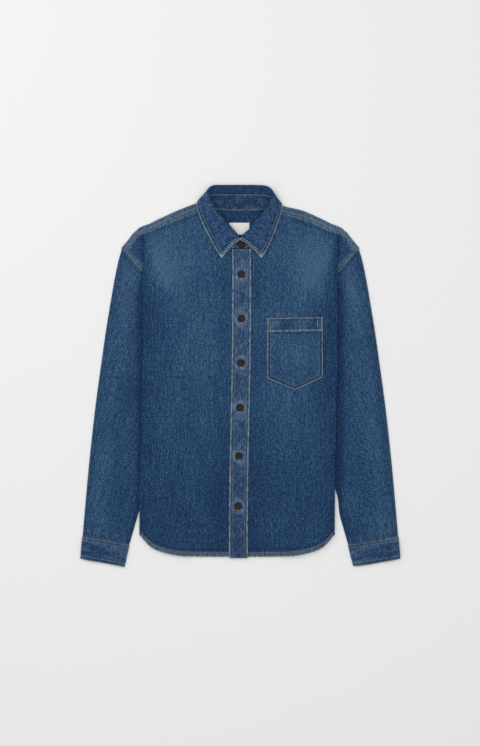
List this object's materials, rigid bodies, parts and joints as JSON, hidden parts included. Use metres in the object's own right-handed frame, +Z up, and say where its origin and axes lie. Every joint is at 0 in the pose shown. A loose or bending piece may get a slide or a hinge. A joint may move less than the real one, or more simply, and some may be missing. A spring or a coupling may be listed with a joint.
{
  "type": "denim shirt",
  "caption": "Long-sleeved button-front denim shirt laid flat, front up, with pointed collar, chest pocket, cuffs and sides turned under.",
  "frame": {"origin": "centre of the shirt's outline, on the surface that it lies on", "axes": "+X to the wearer's left, +Y to the collar, +Z up off the surface; the front faces +Z"},
  "size_m": [0.6776, 0.8091, 0.0199],
  "materials": {
    "denim": "washed indigo twill, matte",
    "denim_trim": "doubled indigo denim with worn stitched edges, matte",
    "button": "dark brown horn look, polished",
    "label": "plain white woven tape"
  },
  "bodies": {
    "root": {"back": "denim", "yoke": "denim", "front_right": "denim", "front_left": "denim", "sleeve_left": "denim", "sleeve_right": "denim", "pocket": "denim", "pocket_hem": "denim", "placket": "denim_trim", "collar_stand": "denim_trim", "collar_fall": "denim_trim", "cuff_left": "denim_trim", "cuff_right": "denim_trim", "button_1": "button", "button_2": "button", "button_3": "button", "button_4": "button", "button_5": "button", "button_6": "button", "button_7": "button", "button_cuff_left": "button", "button_cuff_right": "button", "neck_label": "label"}
  },
  "joints": []
}
